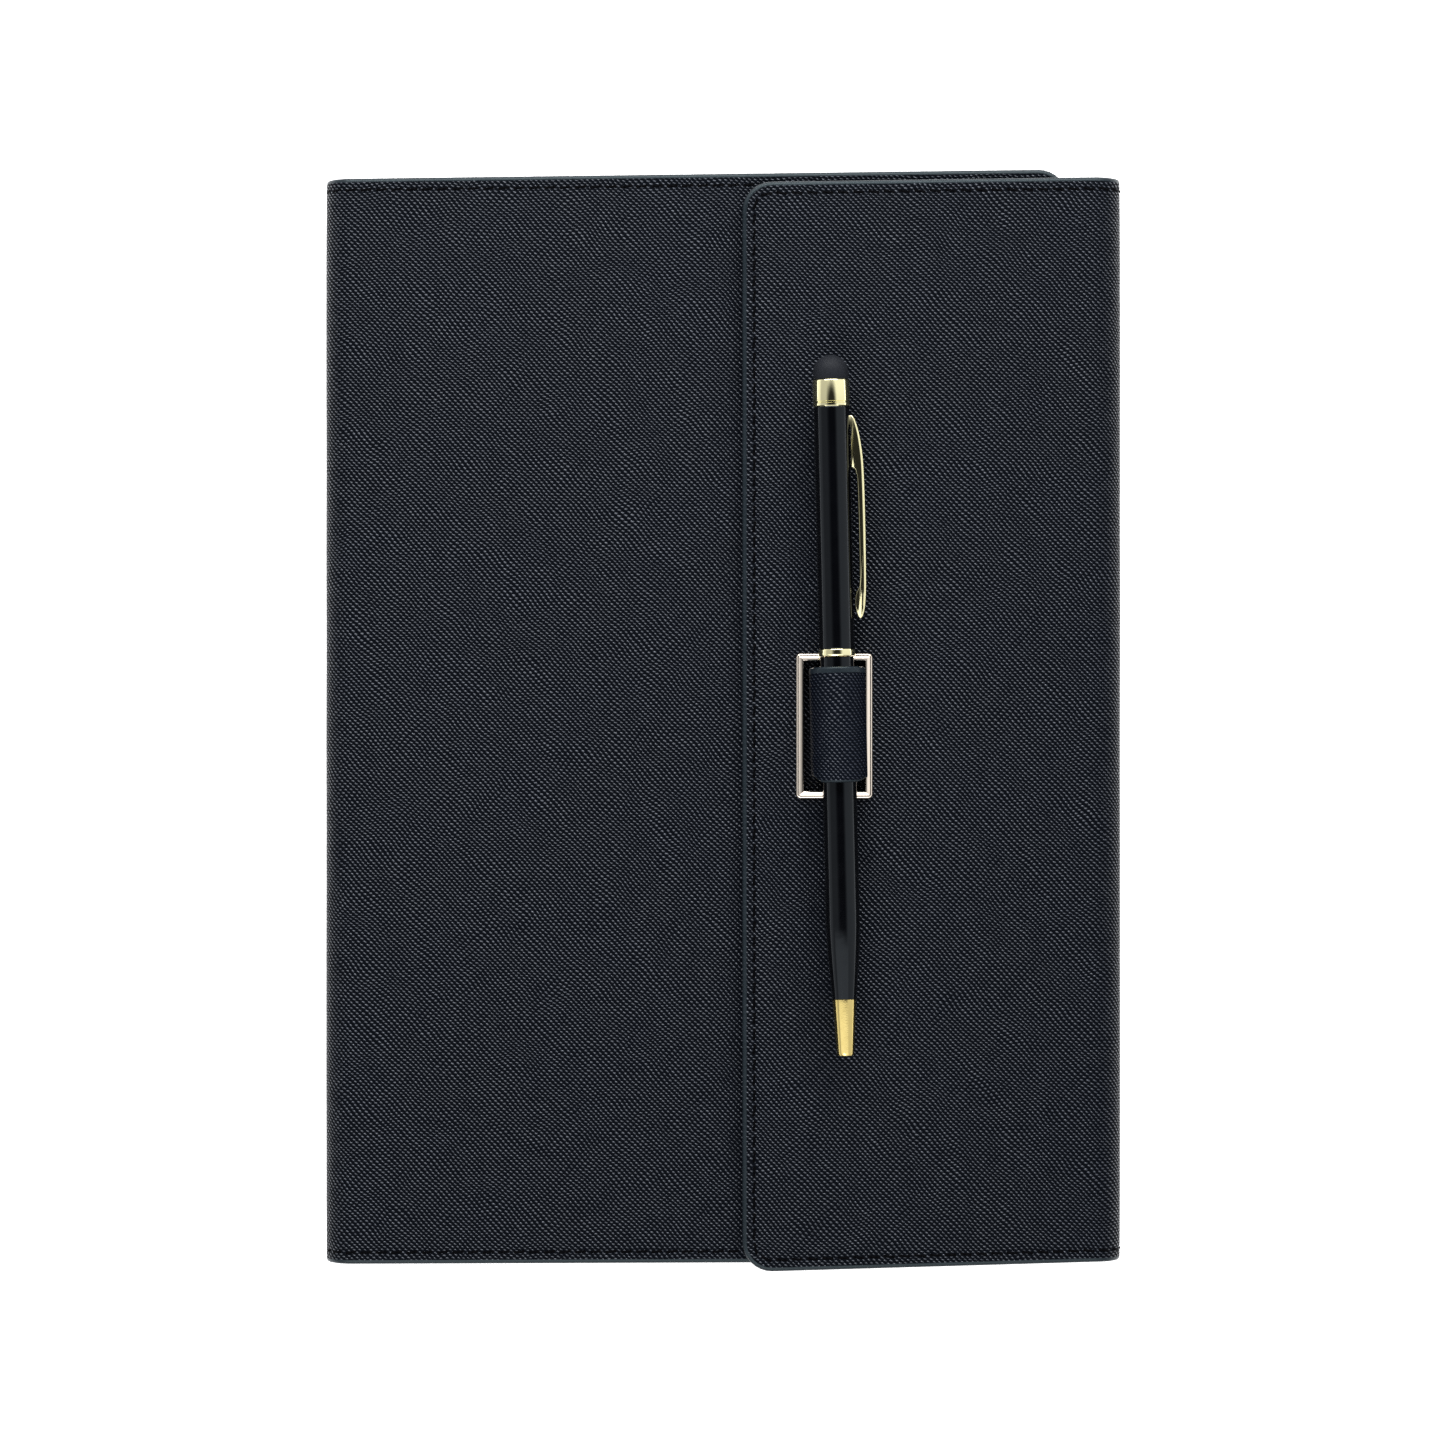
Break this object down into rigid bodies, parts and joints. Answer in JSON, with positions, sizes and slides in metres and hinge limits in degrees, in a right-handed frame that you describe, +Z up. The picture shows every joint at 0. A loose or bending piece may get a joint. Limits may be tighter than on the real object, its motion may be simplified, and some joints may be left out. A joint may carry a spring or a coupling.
{
  "type": "notebook cover",
  "caption": "Tri-fold leather notebook cover with a fold-over flap, a metal window, a pen loop that locks it with a ballpoint pen, and a writing pad.",
  "frame": {"origin": "under the middle of the closed cover, on the surface that the back lies on", "axes": "+X towards the flap's fold, +Y towards the top of the page, +Z up out of the front cover"},
  "size_m": [0.1612, 0.222, 0.0367],
  "materials": {
    "navy_leather": "cross-hatched saffiano, satin",
    "lining_leather": "smooth, matte",
    "board": "matte",
    "paper": "matte",
    "pad_card": "matte",
    "pad_cover_card": "matte",
    "binding_tape": "matte",
    "pale_gold": "polished, pale pink gold plate",
    "pen_gold": "polished, pale gold plate",
    "brass_mechanism": "satin",
    "black_lacquer": "high gloss lacquer",
    "stylus_rubber": "matte",
    "refill_plastic": "satin"
  },
  "bodies": {
    "back_cover": {"back_skin": "navy_leather", "back_board": "board", "back_lining": "lining_leather", "pad_sleeve": "lining_leather", "back_left_crease": "navy_leather", "back_right_crease": "navy_leather"},
    "left_spine": {"left_spine_skin": "navy_leather", "left_spine_board": "board", "left_spine_lining": "lining_leather"},
    "right_spine": {"right_spine_skin": "navy_leather", "right_spine_board": "board", "right_spine_lining": "lining_leather"},
    "front_cover": {"front_crease": "navy_leather", "front_skin": "navy_leather", "front_board": "board", "front_lining": "lining_leather", "slip_pocket": "lining_leather", "card_pocket_lower": "lining_leather", "card_pocket_middle": "lining_leather", "card_pocket_upper": "lining_leather", "pen_loop": "navy_leather"},
    "flap": {"flap_crease": "navy_leather", "flap_skin": "navy_leather", "flap_board": "board", "flap_lining": "lining_leather", "window_frame": "pale_gold", "frame_back_plate": "pale_gold", "frame_prongs": "pale_gold"},
    "notepad": {"pad_back_card": "pad_card", "page_block": "paper", "pad_cover": "pad_cover_card", "pad_binding": "binding_tape"},
    "pen_upper": {"stylus_tip": "stylus_rubber", "stylus_ferrule": "pen_gold", "upper_barrel": "black_lacquer", "middle_ring": "pen_gold", "twist_mechanism": "brass_mechanism"},
    "pen_clip": {"pen_clip": "pen_gold"},
    "pen_lower": {"lower_barrel": "black_lacquer", "tip_cone": "pen_gold"},
    "refill": {"refill_tube": "refill_plastic", "refill_tip": "brass_mechanism"}
  },
  "joints": [
    {"name": "left_spine_fold", "type": "hinge", "parent": "back_cover", "child": "left_spine", "pos_m": [-0.07942, 0, 0.00118], "axis": [0, -1, 0], "range_deg": [0, 86], "deforming": ["back_left_crease"]},
    {"name": "front_cover_fold", "type": "hinge", "parent": "left_spine", "child": "front_cover", "pos_m": [-0.07942, 0, 0.02132], "axis": [0, -1, 0], "range_deg": [0, 86], "deforming": ["front_crease"]},
    {"name": "right_spine_fold", "type": "hinge", "parent": "back_cover", "child": "right_spine", "pos_m": [0.07942, 0, 0.00118], "axis": [0, 1, 0], "range_deg": [0, 88], "deforming": ["back_right_crease"]},
    {"name": "flap_fold", "type": "hinge", "parent": "right_spine", "child": "flap", "pos_m": [0.07942, 0, 0.02452], "axis": [0, 1, 0], "range_deg": [0, 88], "deforming": ["flap_crease"]},
    {"name": "pad_slide", "type": "slide", "parent": "back_cover", "child": "notepad", "axis": [0, 1, 0], "range_m": [0, 0.215]},
    {"name": "pen_slide", "type": "slide", "parent": "front_cover", "child": "pen_upper", "axis": [-0.022, 0.9998, 0], "range_m": [0, 0.085]},
    {"name": "clip_flex", "type": "hinge", "parent": "pen_upper", "child": "pen_clip", "pos_m": [0.02528, 0.06098, 0.03105], "axis": [0, 0, 1], "range_deg": [0, 4], "stiffness_Nm_per_rad": 0.6},
    {"name": "pen_twist", "type": "hinge", "parent": "pen_upper", "child": "pen_lower", "pos_m": [0.02293, 0.01332, 0.03105], "axis": [0.022, -0.9998, 0], "range_deg": [0, 180]},
    {"name": "refill_feed", "type": "slide", "parent": "pen_upper", "child": "refill", "axis": [0.022, -0.9998, 0], "range_m": [0, 0.0032]}
  ],
  "couplings": [
    {"joint": "front_cover_fold", "follows": "left_spine_fold", "ratio": 1},
    {"joint": "flap_fold", "follows": "right_spine_fold", "ratio": 1},
    {"joint": "pen_twist", "follows": "refill_feed", "rad_per_m": 981.75}
  ]
}
